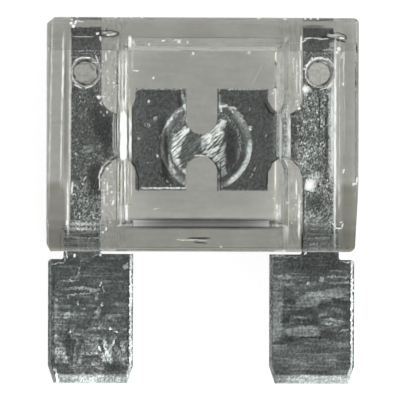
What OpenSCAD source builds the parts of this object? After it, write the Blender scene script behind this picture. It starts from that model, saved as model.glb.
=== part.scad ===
// Automotive blade fuse of the largest blade size, lying on its back.
// X runs across the fuse, +Y towards its head and +Z out of its front face.
// Drops are measured from the top of the head down towards the blades.

/* [Overall] */
// Length from the tips of the blades to the top of the head
overall_l = 34.3; // [33.6:0.1:36]

/* [Housing] */
// Width of the housing
housing_w = 29.2; // [28.8:0.1:30.4]
// Thickness of the housing over its head and foot
housing_t = 8.5; // [8:0.1:9.4]
// Height of the housing from its foot to the top of its head
housing_h = 21.9; // [21.5:0.1:23]
// Height of the flat band round the head
head_flat = 1.95; // [1.4:0.05:2.3]
// Height of the slope from the head down to the columns
head_slope = 1.15; // [0.6:0.05:1.4]
// Height of the flat band round the foot
foot_flat = 2.35; // [1.8:0.05:3]
// Height of the slope from the foot up to the columns
foot_slope = 0.55; // [0.3:0.05:0.9]
// How far the faces of the columns lie under those of the head and foot
column_sink = 0.2; // [0.1:0.05:0.4]
// Radius along the long edges of the housing
edge_r = 0.5; // [0.3:0.05:0.7]
// Width of the cut corner at the left of the head
head_corner_w = 0.77; // [0.4:0.01:1.1]
// Height of the cut corner at the left of the head
head_corner_h = 0.65; // [0.4:0.01:1]
// Width of the cut corner at the left of the foot
foot_corner_w = 0.4; // [0.2:0.01:0.8]
// Height of the cut corner at the left of the foot
foot_corner_h = 0.8; // [0.4:0.01:1.2]
// Radius of the two corners at the right
right_corner_r = 0.62; // [0.3:0.01:0.9]
// How far the right side leans in towards the foot
side_taper = 0.35; // [0.1:0.01:0.6]
// Height over which the right side leans in
side_taper_h = 6.5; // [4:0.1:8]

/* [Window] */
// Distance from the side of the housing to the flat panel in the window
column_w = 7.65; // [7.4:0.05:8.1]
// Width of the slope at each side of the panel
window_slope = 1.05; // [0.6:0.05:1.3]
// Thickness over the two panels, outside to outside
panel_t = 5.3; // [4.8:0.1:5.8]
// Thickness of the wall of a panel
panel_wall = 1; // [0.7:0.05:1.3]

/* [Hollow] */
// Distance from the chamber behind the panels to a terminal
chamber_inset = 2.45; // [2.1:0.05:2.8]
// Thickness of the solid roof over the chamber and the slots
roof_t = 2.05; // [1.6:0.05:2.5]
// Distance from the mouth at the foot of the chamber to a terminal
mouth_inset = 1.5; // [1.2:0.05:1.8]
// Height of the mouth above the foot
mouth_h = 4.45; // [3.4:0.05:5]
// Gap between the faces of the fuse element and its slot
slot_gap = 0.1; // [0.06:0.01:0.16]
// Gap between the edges of the fuse element and its slot
edge_gap = 0.15; // [0.08:0.01:0.25]
// Room that the slot leaves above the shoulder of a neck
neck_room = 0.6; // [0.3:0.05:1]

/* [Stakes] */
// Drop from the top of the head to the middle of a stake
stake_drop = 5.15; // [4.8:0.05:5.4]
// Distance from the inner edge of a terminal to the middle of a stake
stake_inset = 1.5; // [1.35:0.01:1.6]
// Diameter of a stake
stake_d = 2; // [1.7:0.05:2.1]
// Gap between a stake and the hole round it
stake_gap = 0.08; // [0.05:0.01:0.12]
// Diameter of the dimple over a stake at the face of the column
dimple_d = 2.8; // [2.5:0.05:3.1]
// Diameter of the floor of that dimple
dimple_floor_d = 2.2; // [1.9:0.05:2.4]
// Thickness of plastic between the dimple and the slot
dimple_wall = 0.9; // [0.6:0.05:1.3]

/* [Gate mark] */
// Length of the gate mark on the front of the foot
gate_l = 2.45; // [1.8:0.05:3]
// Width of the gate mark
gate_w = 0.55; // [0.4:0.01:0.7]
// Depth of the gate mark
gate_depth = 0.2; // [0.1:0.01:0.3]
// Distance of the gate mark to the left of the middle
gate_x = 0.5; // [0:0.05:1]
// Height of the gate mark above the foot
gate_rise = 1.1; // [0.9:0.01:1.3]

/* [Blades] */
// Thickness of the metal
metal_t = 0.8; // [0.7:0.02:0.9]
// Width of a blade
blade_w = 8; // [7.8:0.05:8.2]
// Distance from the side of the housing to the outer edge of a blade
blade_inset = 0.2; // [0.1:0.05:0.4]
// Width of the cut corners at the tip of a blade
tip_cut_w = 0.55; // [0.3:0.01:0.9]
// Height of the cut corners at the tip of a blade
tip_cut_h = 1.65; // [1:0.05:2.4]
// Width of the bevel along the edges of a blade
bevel_w = 0.3; // [0.15:0.01:0.4]
// Width of the bevel along the tip of a blade
tip_bevel_w = 0.85; // [0.5:0.01:1.1]
// How deep the bevels cut into each face
bevel_depth = 0.22; // [0.1:0.01:0.3]
// Drop from the foot to the inner shoulder of a blade
inner_shoulder = 0.26; // [0.15:0.01:0.5]
// Drop from the foot to the outer shoulder of a blade
outer_shoulder = 0.76; // [0.5:0.01:1]
// Radius of the corner at the outer shoulder
shoulder_r = 0.35; // [0.2:0.01:0.5]

/* [Terminals] */
// Width of a terminal
terminal_w = 2.9; // [2.8:0.01:3]
// Drop from the top of the head to the end of a terminal
terminal_drop = 0.85; // [0.5:0.05:1.2]
// Width of the neck between a terminal and its blade
neck_w = 3.5; // [3.3:0.01:3.6]
// Distance from the outer edge of a blade to the neck
neck_inset = 1.45; // [1.35:0.05:1.6]
// Height of the neck above the foot
neck_rise = 2.1; // [1.6:0.05:2.6]
// Radius of the fillets at the neck
neck_r = 0.22; // [0.12:0.01:0.25]

/* [Link] */
// Width of the notches between a terminal and its pad
notch_w = 3.2; // [3:0.02:3.4]
// Drop from the top of the head to the middle of the webs
web_drop = 11; // [10.7:0.05:11.3]
// Height of the webs at their narrowest
web_h = 4.1; // [3.6:0.05:4.4]
// Drop from the top of the head to the upper edge of the pads
pad_drop = 6.6; // [6.2:0.05:6.9]
// Height of the pads
pad_h = 9.6; // [9.2:0.05:10]
// Radius of the corners of the pads
pad_r = 0.2; // [0.1:0.01:0.3]
// Width of the notches between the two pads
mid_notch_w = 2.9; // [2.6:0.02:3.2]
// Drop from the top of the head to the middle of the bridge
bridge_drop = 11.9; // [11.6:0.05:12.2]
// Height of the bridge at its narrowest
bridge_h = 2.15; // [1.8:0.05:2.5]

/* [Dish] */
// Diameter of the coined dish round the bridge
dish_d = 8.6; // [8:0.1:9]
// Diameter of the flat floor of the dish
dish_floor_d = 6.6; // [5.8:0.1:7.2]
// Depth of the dish in each face
dish_depth = 0.18; // [0.1:0.01:0.24]
// Distance of the dish to the right of the middle
dish_x = 0.4; // [0:0.05:0.6]

/* [Hidden] */
$fn = 64;

// Reach of a cutting shape past the surface that it cuts
over = 1;

top_y = overall_l / 2;
tip_y = -overall_l / 2;
foot_y = top_y - housing_h;
mid_z = housing_t / 2;

column_z = mid_z - column_sink;
panel_z = panel_t / 2;
chamber_z = panel_z - panel_wall;
slot_t = metal_t + 2 * slot_gap;

blade_out = housing_w / 2 - blade_inset;
blade_in = blade_out - blade_w;
inner_y = foot_y - inner_shoulder;
outer_y = foot_y - outer_shoulder;

neck_out = blade_out - neck_inset;
neck_y = foot_y + neck_rise;
terminal_in = neck_out - neck_w;
terminal_out = terminal_in + terminal_w;
terminal_y = top_y - terminal_drop;
stake_x = terminal_in + stake_inset;
stake_y = top_y - stake_drop;
hole_d = stake_d + 2 * stake_gap;

pad_out = terminal_in - notch_w;
pad_y = top_y - pad_drop;
web_y = top_y - web_drop;
bridge_y = top_y - bridge_drop;

// Points of one blade: down its inner edge, along the tip, up its outer edge and over the shoulders
function blade_points() = [
    [blade_in, inner_y],
    [blade_in, tip_y + tip_cut_h],
    [blade_in + tip_cut_w, tip_y],
    [blade_out - tip_cut_w, tip_y],
    [blade_out, tip_y + tip_cut_h],
    [blade_out, outer_y],
    [neck_out, outer_y],
    [neck_out, inner_y]
];

// What a radius takes off a square corner that points to -X and -Y
module corner_waste(r) {
    difference() {
        translate([-over, -over]) square(r + over);
        translate([r, r]) circle(r);
    }
}

// A fillet that fills the inside corner at the origin, in the +X +Y quarter
module corner_fill(r) {
    difference() {
        translate([-r, -r]) square(2 * r);
        translate([r, r]) circle(r);
    }
}

// A rectangle with round corners, centred
module round_rectangle(w, h, r) {
    square([w - 2 * r, h], center = true);
    square([w, h - 2 * r], center = true);
    for (x = [-1, 1], y = [-1, 1])
        translate([x * (w / 2 - r), y * (h / 2 - r)]) circle(r);
}

// Copies of a child at the left and at the right
module both_sides() {
    children();
    mirror([1, 0, 0]) children();
}

// Copies of a child on the front and on the back
module both_faces() {
    children();
    mirror([0, 0, 1]) children();
}

// Turns a section drawn in Y and Z so that it runs along X
module along_x(length) {
    rotate([90, 0, 90]) linear_extrude(length, center = true) children();
}

// Turns a section drawn in X and Z so that it runs along Y
module along_y(y_low, y_high) {
    translate([0, y_high, 0]) rotate([90, 0, 0]) linear_extrude(y_high - y_low) children();
}

// Outline of the housing seen from the front
module housing_outline() {
    right = housing_w / 2;
    foot_right = right - side_taper;
    round_right = foot_right + side_taper * right_corner_r / side_taper_h;
    difference() {
        polygon([
            [-right, foot_y + foot_corner_h],
            [-right + foot_corner_w, foot_y],
            [foot_right, foot_y],
            [right, foot_y + side_taper_h],
            [right, top_y],
            [-right + head_corner_w, top_y],
            [-right, top_y - head_corner_h]
        ]);
        translate([right, top_y]) rotate(180) corner_waste(right_corner_r);
        translate([round_right, foot_y]) rotate(90) corner_waste(right_corner_r);
    }
}

// Section of the housing seen from its side: head, column and foot
module side_section() {
    head_y = top_y - head_flat;
    foot_top = foot_y + foot_flat;
    difference() {
        polygon([
            [top_y, mid_z],
            [head_y, mid_z],
            [head_y - head_slope, column_z],
            [foot_top + foot_slope, column_z],
            [foot_top, mid_z],
            [foot_y, mid_z],
            [foot_y, -mid_z],
            [foot_top, -mid_z],
            [foot_top + foot_slope, -column_z],
            [head_y - head_slope, -column_z],
            [head_y, -mid_z],
            [top_y, -mid_z]
        ]);
        for (z = [-1, 1]) {
            translate([top_y, z * mid_z]) rotate(z > 0 ? 180 : 90) corner_waste(edge_r);
            translate([foot_y, z * mid_z]) rotate(z > 0 ? -90 : 0) corner_waste(edge_r);
        }
    }
}

// Block of the housing before it is hollowed
module housing_block() {
    intersection() {
        linear_extrude(housing_t, center = true) housing_outline();
        along_x(housing_w + over) side_section();
        along_y(foot_y - over, top_y + over) round_rectangle(housing_w, housing_t, edge_r);
    }
}

// Pocket with sloped sides that forms the window on the front
module window_pocket() {
    half = housing_w / 2 - column_w;
    rim = half + window_slope;
    high = mid_z + over;
    head_y = top_y - head_flat;
    foot_top = foot_y + foot_flat;
    intersection() {
        along_y(foot_y, top_y) polygon([
            [-half, panel_z],
            [half, panel_z],
            [rim, column_z],
            [rim, high],
            [-rim, high],
            [-rim, column_z]
        ]);
        along_x(housing_w) polygon([
            [foot_top + foot_slope, panel_z],
            [head_y - head_slope, panel_z],
            [head_y, mid_z],
            [head_y, high],
            [foot_top, high],
            [foot_top, mid_z]
        ]);
    }
}

// Box that opens at the foot, centred across X and through the thickness
module hollow_box(half_w, y_high, t) {
    low = foot_y - over;
    translate([-half_w, low, -t / 2]) cube([2 * half_w, y_high - low, t]);
}

// Hollow for the fuse element: chamber, mouth, slots and test openings
module hollow() {
    roof_y = top_y - roof_t;
    opening_w = terminal_w + 2 * edge_gap;
    hollow_box(terminal_in - chamber_inset, roof_y, 2 * chamber_z);
    hollow_box(terminal_in - mouth_inset, foot_y + mouth_h, 2 * chamber_z);
    hollow_box(terminal_out + edge_gap, roof_y, slot_t);
    hollow_box(neck_out + edge_gap, neck_y + neck_room, slot_t);
    both_sides()
        translate([terminal_in - edge_gap, foot_y, -slot_t / 2])
            cube([opening_w, housing_h + over, slot_t]);
}

// Round dimple in the front over one stake
module dimple() {
    floor_z = slot_t / 2 + dimple_wall;
    depth = column_z - floor_z;
    grow = (dimple_d - dimple_floor_d) * (depth + over) / depth;
    translate([stake_x, stake_y, floor_z])
        cylinder(h = depth + over, d1 = dimple_floor_d, d2 = dimple_floor_d + grow);
}

// Shallow oval that the moulding gate left on the front of the foot
module gate_mark() {
    reach = (gate_l - gate_w) / 2;
    translate([-gate_x, foot_y + gate_rise, mid_z - gate_depth]) {
        for (x = [-reach, reach])
            translate([x, 0, 0]) cylinder(h = over, d = gate_w);
        translate([-reach, -gate_w / 2, 0]) cube([2 * reach, gate_w, over]);
    }
}

module housing() {
    color([0.6, 0.6, 0.57, 0.6])
        translate([0, 0, mid_z]) {
            difference() {
                housing_block();
                hollow();
                both_faces() window_pocket();
                both_sides() both_faces() dimple();
                gate_mark();
            }
            both_sides()
                translate([stake_x, stake_y, 0])
                    cylinder(h = slot_t + 2 * slot_gap, d = stake_d, center = true);
        }
}

// One half of the fuse element seen from the front
module half_outline() {
    notch_r = notch_w / 2;
    notch_x = pad_out + notch_r;
    upper_y = web_y + web_h / 2 + notch_r;
    lower_y = web_y - web_h / 2 - notch_r;
    difference() {
        union() {
            polygon(blade_points());
            translate([terminal_in, outer_y]) square([neck_w, neck_y - outer_y]);
            translate([terminal_in, neck_y]) square([terminal_w, terminal_y - neck_y]);
            translate([pad_out, lower_y]) square([notch_w, upper_y - lower_y]);
            translate([0, pad_y - pad_h]) square([pad_out, pad_h]);
            translate([terminal_in, inner_y]) rotate(90) corner_fill(neck_r);
            translate([neck_out, outer_y]) corner_fill(neck_r);
        }
        translate([notch_x, upper_y]) circle(notch_r);
        translate([notch_x, lower_y]) circle(notch_r);
        translate([pad_out, pad_y]) rotate(180) corner_waste(pad_r);
        translate([pad_out, pad_y - pad_h]) rotate(90) corner_waste(pad_r);
        translate([blade_out, outer_y]) rotate(180) corner_waste(shoulder_r);
    }
}

// Outline of the whole fuse element, with the notches beside the bridge
module element_outline() {
    mid_r = mid_notch_w / 2;
    difference() {
        both_sides() half_outline();
        for (side = [-1, 1]) {
            notch_y = bridge_y + side * (bridge_h / 2 + mid_r);
            pad_edge = side > 0 ? pad_y : pad_y - pad_h;
            translate([0, notch_y]) circle(mid_r);
            translate([-mid_r, min(notch_y, pad_edge + side * over)])
                square([mid_notch_w, abs(pad_edge + side * over - notch_y)]);
        }
    }
}

// Wedge that bevels the front edge from a to b, where the metal lies to its left
module edge_wedge(a, b, w) {
    run = b - a;
    rise = over * bevel_depth / w;
    top = metal_t / 2;
    translate([a[0], a[1], 0])
        rotate([0, 0, atan2(run[1], run[0])])
            translate([-over, 0, 0])
                rotate([90, 0, 90])
                    linear_extrude(norm(run) + 2 * over)
                        polygon([
                            [-over, top - bevel_depth - rise],
                            [w + over, top + rise],
                            [-over, top + rise]
                        ]);
}

// Bevels along the edges and the tip of one blade, on its front
module blade_bevels() {
    points = blade_points();
    edge_wedge(points[0], points[1], bevel_w);
    edge_wedge(points[1], points[2], bevel_w);
    edge_wedge(points[2], points[3], tip_bevel_w);
    edge_wedge(points[3], points[4], bevel_w);
    edge_wedge(points[4], points[5], bevel_w);
}

// Round dish coined into the front of the metal
module dish() {
    floor_r = dish_floor_d / 2;
    rim = dish_d / 2 - floor_r;
    curve_r = (rim * rim + dish_depth * dish_depth) / (2 * dish_depth);
    translate([dish_x, bridge_y, metal_t / 2 - dish_depth])
        rotate_extrude() {
            square([floor_r, dish_depth + over]);
            intersection() {
                translate([floor_r, curve_r]) circle(curve_r);
                square([dish_d / 2 + over, dish_depth + over]);
            }
        }
}

module fuse_element() {
    color([0.42, 0.44, 0.44])
        translate([0, 0, mid_z])
            difference() {
                linear_extrude(metal_t, center = true) element_outline();
                both_sides() {
                    translate([stake_x, stake_y, 0])
                        cylinder(h = metal_t + over, d = hole_d, center = true);
                    both_faces() blade_bevels();
                }
                both_faces() dish();
            }
}

housing();
fuse_element();
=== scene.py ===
"""Looks of an automotive blade fuse that lies on its back: a clear housing with a metal element in it."""
import math

import bpy
from mathutils import Matrix, Vector


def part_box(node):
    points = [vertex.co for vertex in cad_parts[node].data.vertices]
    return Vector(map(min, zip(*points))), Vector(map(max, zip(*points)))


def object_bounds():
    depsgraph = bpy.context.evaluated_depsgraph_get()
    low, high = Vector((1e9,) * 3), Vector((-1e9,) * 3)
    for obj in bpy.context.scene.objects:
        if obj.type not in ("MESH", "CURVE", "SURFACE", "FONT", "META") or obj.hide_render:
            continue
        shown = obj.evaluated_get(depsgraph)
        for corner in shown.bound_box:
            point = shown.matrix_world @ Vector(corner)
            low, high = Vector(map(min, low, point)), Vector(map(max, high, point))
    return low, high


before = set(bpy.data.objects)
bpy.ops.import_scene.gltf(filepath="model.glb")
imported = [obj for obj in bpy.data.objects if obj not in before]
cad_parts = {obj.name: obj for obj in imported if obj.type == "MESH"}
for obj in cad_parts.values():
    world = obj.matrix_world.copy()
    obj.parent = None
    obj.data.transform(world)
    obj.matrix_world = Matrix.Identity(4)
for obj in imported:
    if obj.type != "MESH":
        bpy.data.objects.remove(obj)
cad_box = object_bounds()

# Lengths and places are in millimetres, and those of the floor and the camera in metres.
MM = 0.001
WHITE = (1.0, 1.0, 1.0, 1.0)

housing_low, housing_high = (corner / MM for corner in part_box("housing"))
MID_Z = (housing_low.z + housing_high.z) / 2

# Width of the step from one kind of face to the next
SHARP = 0.01

# Share of the light that one outer face of the plastic lets through
FRONT_CLEAR = (0.94, 0.94, 0.93)
BACK_CLEAR = (0.523, 0.524, 0.487)
SIDE_CLEAR = (0.557, 0.552, 0.525)
# What an olive tint leaves of it where the back is dim
OLIVE = (0.93, 0.93, 0.86)
# Colours of the plastic where it looks white: rough haze and frost, and painted glints and highlights
FROST_AND_GLINT = (0.95, 0.96, 0.93)
YELLOW_FROST_AND_GLINT = (0.74, 0.74, 0.58)
# Share of the outer walls that is rough
HAZE = 0.12
FROST_ROUGHNESS = 0.6
FULL_GLOSS = 0.5
PLASTIC_IOR = 1.5

# Below this distance from the middle of the thickness, a face of the housing is an inner one
INNER_Z = 2.15
# The same inside a dimple over a stake
DIMPLE_INNER_Z = 1.0
# Beyond these places a face of the housing belongs to its sides, its top or its foot
SIDE_X = housing_high.x - 1.3
TOP_Y = housing_high.y - 0.06
FOOT_Y = housing_low.y + 0.02
# Middle of the right stake, and the radius of the dimple over it
STAKE = Vector((10.95, 12.0))
DIMPLE_R = 1.45

# A span is four limits: it fades in from the first to the second, and out from the third to
# the fourth. X is the distance from the middle line of the fuse, and Y the place along it.
# Those of the rings are distances from the middle of a stake; the dark ring is painted shade and the white
# ring a painted highlight round each stake.
DARK_RING = (1.02, 1.1, 1.2, 1.3)
WHITE_RING = (1.22, 1.3, 1.37, 1.45)
# The part of a column next to the window, and the strip of it that is flecked
INNER_COLUMN_X = (6.9, 7.3, 9.3, 9.9)
FLECKED_X = (8.0, 8.3, 9.5, 9.8)
FLECKED_Y = (-2.6, -1.6, 13.9, 14.1)
# Where the yellowish tint of the flecks ends
YELLOW_END_X = (9.0, 8.6)
# The webs and the terminals of the metal, and where its middle plates end
WEB_Y = (3.7, 4.1, 7.6, 8.0)
TERMINAL_Y = (-2.9, -2.6, 13.9, 14.2)
PLATE_END_X = (7.4, 7.2)

# Every mark is an oblong: x and y of its middle, width, height, turn in degrees, strength.
# All marks are chosen one by one.

# Painted highlights: streaks along the walls and slopes of the plastic where they catch the light
WHITE_LINES = [
    (-14.21, 8.94, 0.17, 15.95, -1, 0.42),
    (-13.08, 12.23, 0.19, 5.63, -0.9, 0.95),
    (-13.21, 6.13, 0.17, 8.44, -0.9, 0.6),
    (-12.39, 7.72, 0.23, 13.13, -0.2, 0.5),
    (-12.58, -0.72, 0.17, 4.5, 0.4, 0.95),
    (-7.81, 11.1, 0.16, 5.82, -0.2, 0.6),
    (-7.5, 11.1, 0.14, 5.82, -0.2, 0.5),
    (-7.18, 10.91, 0.15, 6.19, -0.2, 0.85),
    (-7.4, 7.44, 0.6, 1.88, 0, 1.5),
    (-7.4, 6.03, 0.6, 3.19, 0, 1.6),
    (-7.4, 4.72, 0.6, 1.69, 0, 1.5),
    (-7.49, 8.66, 0.51, 1.5, 0, 0.6),
    (-6.85, 9.41, 0.11, 2.44, 0, 0.5),
    (-6.76, 6.22, 0.26, 5.07, 0, 1.1),
    (-8.36, 6.32, 0.11, 3.19, 0, 0.5),
    (-8.15, 6.03, 0.11, 3, 0, 0.45),
    (-7.93, 6.41, 0.11, 3.56, 0, 0.5),
    (-7.72, 6.6, 0.13, 4.88, 0, 0.35),
    (-6.59, 13.16, 0.15, 1.88, 0, 0.55),
    (-7.88, 1.72, 0.13, 4.13, 0, 0.75),
    (-7.57, 1.53, 0.13, 3.94, 0, 0.6),
    (-7.24, 1.91, 0.14, 4.5, 0, 0.95),
    (-6.93, 1.53, 0.12, 3.94, 0, 0.6),
    (-6.64, 1.72, 0.12, 3.19, 0, 0.7),
    (-7.89, -1.28, 0.12, 2.44, 0, 0.45),
    (-7.66, -1.28, 0.32, 2.06, 0, 0.35),
    (-6.88, -1.19, 0.3, 1.88, 0, 0.32),
    (7.81, -0.44, 0.51, 5.63, 0, 0.55),
    (7.79, 9.41, 0.38, 2.25, 0, 0.4),
    (14.34, 6.6, 0.13, 20.64, 0, 0.14),
    (7.16, 11.76, 0.19, 4.31, 0, 0.5),
    (6.97, 11.29, 0.09, 1.88, 0, 0.6),
    (7.32, 6.03, 0.15, 4.13, 0, 1.8),
    (8.06, 6.03, 0.3, 3.94, 0, 0.8),
    (8.75, 11.66, 0.12, 3.19, 0, 0.65),
    (9.09, 12.04, 0.14, 4.31, 0, 0.8),
    (12.37, 5.66, 0.21, 16.88, 0, 1),
    (12.11, 7.16, 0.3, 9.38, 0, 0.55),
    (12.82, 5.66, 0.56, 16.88, 0, 0.14),
    (12.41, 1.34, 0.17, 7.13, -0.2, 0.75),
    (12.78, 8.47, 0.11, 13.13, 0, 0.4),
    (12.77, 0.78, 0.23, 2.81, 1.5, 0.4),
    (13.16, 12.6, 0.15, 3.38, 0, 0.5),
    (13.23, 7.54, 0.09, 5.63, 0, 0.25),
    (7.12, 1.25, 0.11, 1.69, 0, 0.9),
    (7.1, -0.63, 0.1, 2.25, 0, 0.8),
    (8.77, 1.25, 0.17, 1.5, 0, 0.9),
    (9.03, -1.47, 0.21, 3.75, 0, 0.9),
]
# Short painted glints, and rough spots in the plastic
WHITE_SPOTS = [
    (-12.33, 16.54, 0.28, 0.23, 20, 1),
    (-11.9, 16.63, 0.17, 0.39, -20, 0.95),
    (-12.12, 16.27, 0.3, 0.3, 0, 1),
    (-12.27, 16.88, 0.24, 0.15, 20, 0.6),
    (-11.47, 16.71, 0.61, 0.09, -8, 0.7),
    (-9.84, 15.58, 0.3, 0.21, 10, 0.85),
    (-8.45, 15.53, 0.56, 0.12, 10, 0.8),
    (-8.85, 15.45, 0.24, 0.15, -10, 0.7),
    (-9.16, 15.66, 0.34, 0.09, 4, 0.4),
    (-7.94, 14.48, 0.28, 0.94, 0, 0.3),
    (-9.6, 15.1, 0.17, 0.43, 15, 0.7),
    (-11.19, 15.29, 1.88, 0.11, 0, 0.34),
    (-6.82, 14.82, 0.3, 1.03, 0, 1),
    (-6.46, 14.71, 0.24, 0.52, 20, 0.5),
    (-3.69, 14.96, 0.36, 0.13, 15, 0.75),
    (-2.22, 14.89, 0.28, 0.32, -20, 0.9),
    (-2.37, 15.02, 0.75, 0.09, 4, 0.6),
    (-1.44, 14.8, 0.15, 0.21, 0, 0.6),
    (-5.04, 14.6, 0.15, 0.28, 0, 0.6),
    (-0.9, 13.8, 0.23, 0.3, -10, 0.9),
    (4.34, 13.89, 0.26, 0.24, 30, 0.9),
    (-6.26, 12.15, 0.53, 0.14, 0, 0.85),
    (-4.62, 11.5, 0.17, 0.26, -20, 0.8),
    (-9.07, 13.4, 0.11, 0.7, 0, 0.8),
    (-8.73, 13.91, 0.23, 0.19, 0, 0.6),
    (-8.95, 12.05, 0.15, 0.21, 0, 0.55),
    (-8.85, 11.39, 0.11, 0.47, 25, 0.5),
    (-8.35, 10.98, 0.15, 0.23, 0, 0.7),
    (-9.73, 9.66, 0.28, 0.32, 30, 0.95),
    (-9.56, 9.11, 0.17, 0.19, 0, 0.7),
    (-8.94, 8.25, 0.16, 0.18, 0, 0.7),
    (-9.15, 9.04, 0.13, 0.13, 0, 0.5),
    (8.83, 9.36, 0.15, 0.23, 0, 0.7),
    (8.9, 9.04, 0.13, 0.17, 0, 0.6),
    (-9.71, 12.04, 0.15, 1.13, 0, 0.95),
    (-9.93, 11.14, 0.17, 0.75, -38, 0.9),
    (-10.23, 11.36, 0.19, 0.56, -30, 0.8),
    (-10.63, 10.59, 0.75, 0.14, 18, 0.8),
    (-11.66, 10.65, 0.75, 0.13, -25, 0.8),
    (-12.17, 11.66, 0.13, 1.13, 4, 0.7),
    (-11.62, 13.22, 0.84, 0.12, 26, 0.7),
    (-9.88, 13.16, 0.15, 0.84, 20, 0.55),
    (-10.4, 11.38, 0.19, 0.43, -34, 0.5),
    (-11.79, 11.34, 0.13, 0.38, 36, 0.4),
    (9.88, 12.83, 0.24, 0.66, -38, 1.1),
    (9.67, 12.68, 0.17, 0.28, -60, 0.9),
    (9.67, 12.19, 0.23, 0.56, -8, 0.9),
    (9.48, 12.36, 0.19, 0.17, 0, 0.8),
    (10.48, 13.28, 0.75, 0.21, 20, 1.1),
    (10.2, 13.39, 0.17, 0.19, 0, 0.8),
    (11, 13.44, 0.56, 0.13, 0, 0.7),
    (12.2, 11.66, 0.17, 1.22, -14, 1),
    (11.88, 10.86, 0.17, 0.66, -50, 0.8),
    (11.56, 10.59, 1.13, 0.13, 14, 0.6),
    (11.85, 13.14, 0.13, 0.84, 50, 0.6),
    (-9.35, 9.72, 0.66, 0.1, 0, 0.5),
    (-8.8, 9.54, 0.1, 0.43, -30, 0.7),
    (6.8, 10.41, 0.34, 0.28, 30, 0.9),
    (9.99, 1.48, 0.71, 0.79, -10, 1),
    (9.54, 10.48, 0.43, 0.43, -20, 1),
    (7.81, 12.6, 0.47, 4.69, 0, 0.5),
    (5.22, 12.04, 0.11, 2.44, -26, 0.16),
    (-11.79, 17.14, 0.21, 0.15, 0, 0.9),
    (-8.17, 17.14, 0.28, 0.15, 0, 0.9),
    (-7.63, 17.14, 0.19, 0.15, 0, 0.8),
    (-6.74, 17.14, 0.24, 0.15, 0, 0.9),
    (-5.73, 17.12, 0.28, 0.15, 0, 0.9),
    (5.19, 17.08, 0.28, 0.15, 0, 0.8),
    (9.54, 17.07, 0.17, 0.17, 0, 0.8),
    (10.06, 17.07, 0.21, 0.17, 0, 0.8),
    (10.72, 17.05, 0.19, 0.17, 0, 0.8),
    (7.01, 10.21, 0.19, 0.41, 0, 0.85),
    (6.63, 10.11, 0.34, 0.17, 0, 0.8),
    (7.17, 9.32, 0.23, 0.24, 0, 0.95),
    (7.06, 8.66, 0.17, 0.94, 0, 0.8),
    (7.89, 9.88, 0.09, 0.56, 0, 0.4),
    (7.91, 8.57, 0.15, 0.3, 15, 0.85),
    (9, 8.68, 0.21, 0.3, -40, 0.9),
    (8.46, 12.79, 0.11, 1.69, 0, 0.45),
    (12.97, 15.26, 0.41, 0.14, -14, 1),
    (12.26, 15.51, 0.84, 0.11, -6, 0.55),
    (11.92, 15.47, 0.66, 0.28, -15, 0.4),
    (12.03, 14.63, 0.47, 0.47, 20, 0.26),
    (11.98, 14.16, 0.56, 0.28, -25, 0.26),
    (11.51, 14.16, 0.66, 0.11, 12, 0.4),
    (11.23, 15.15, 0.94, 0.11, 5, 0.5),
    (12.5, 13.91, 0.28, 0.28, 0, 0.8),
    (13.05, 13.63, 0.28, 0.75, -30, 0.4),
    (7.06, 14.36, 0.47, 0.32, 15, 0.45),
    (9.15, 14.76, 0.15, 1.31, 0, 0.9),
    (9.41, 14.95, 0.53, 0.09, 25, 0.8),
    (9.8, 15.21, 0.75, 0.12, 8, 0.65),
    (10.65, 15.23, 0.94, 0.1, -5, 0.5),
    (12.69, 14.23, 0.32, 0.38, 20, 0.85),
    (13.13, 10.96, 0.17, 0.3, 0, 0.8),
    (13.18, 2.83, 0.19, 0.43, -15, 0.75),
    (14.19, 1.61, 0.38, 0.21, 20, 0.85),
    (14.42, 1.95, 0.15, 0.56, -8, 0.85),
    (7.92, -0.14, 0.3, 0.26, 15, 1),
    (6.82, 0.28, 0.38, 0.17, 0, 0.9),
    (6.93, -1, 0.3, 0.56, -30, 0.6),
    (6.76, -1.33, 0.38, 0.47, 0, 0.3),
    (12.3, -2.22, 0.56, 0.11, -42, 0.85),
    (12.73, -2.52, 0.51, 0.13, -6, 0.9),
    (13.09, -2.28, 0.12, 0.41, -16, 0.85),
    (12.95, -1.96, 0.3, 0.09, 20, 0.7),
    (-12.65, -2.11, 0.23, 0.49, 0, 0.95),
    (-4.34, -0.78, 0.47, 0.09, 15, 0.6),
    (-1.29, -3.66, 1.31, 0.13, 2, 0.9),
    (-0.12, -3.68, 1.13, 0.11, -4, 0.5),
    (-2.23, -3.63, 0.47, 0.11, 0, 0.45),
    (1.75, -4.27, 0.26, 0.13, -20, 0.6),
    (-12.18, 1.16, 0.19, 1.13, -4, 0.8),
    (-9.55, 2.66, 0.15, 1.13, -20, 0.75),
    (-9.61, 1.72, 0.13, 1.31, 0, 0.75),
    (-8.9, 1.25, 0.13, 0.75, 0, 0.8),
    (-8.88, 2.96, 0.19, 0.24, -25, 0.9),
    (-8.36, -0.19, 0.19, 0.47, -20, 0.8),
    (-8.49, 0.78, 0.19, 0.24, 0, 0.8),
    (-9.2, 0.13, 0.13, 1.13, 0, 0.6),
    (-9, -2.65, 0.15, 0.34, -10, 0.8),
    (-9.3, -2.97, 0.24, 0.21, 0, 0.6),
]
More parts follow.
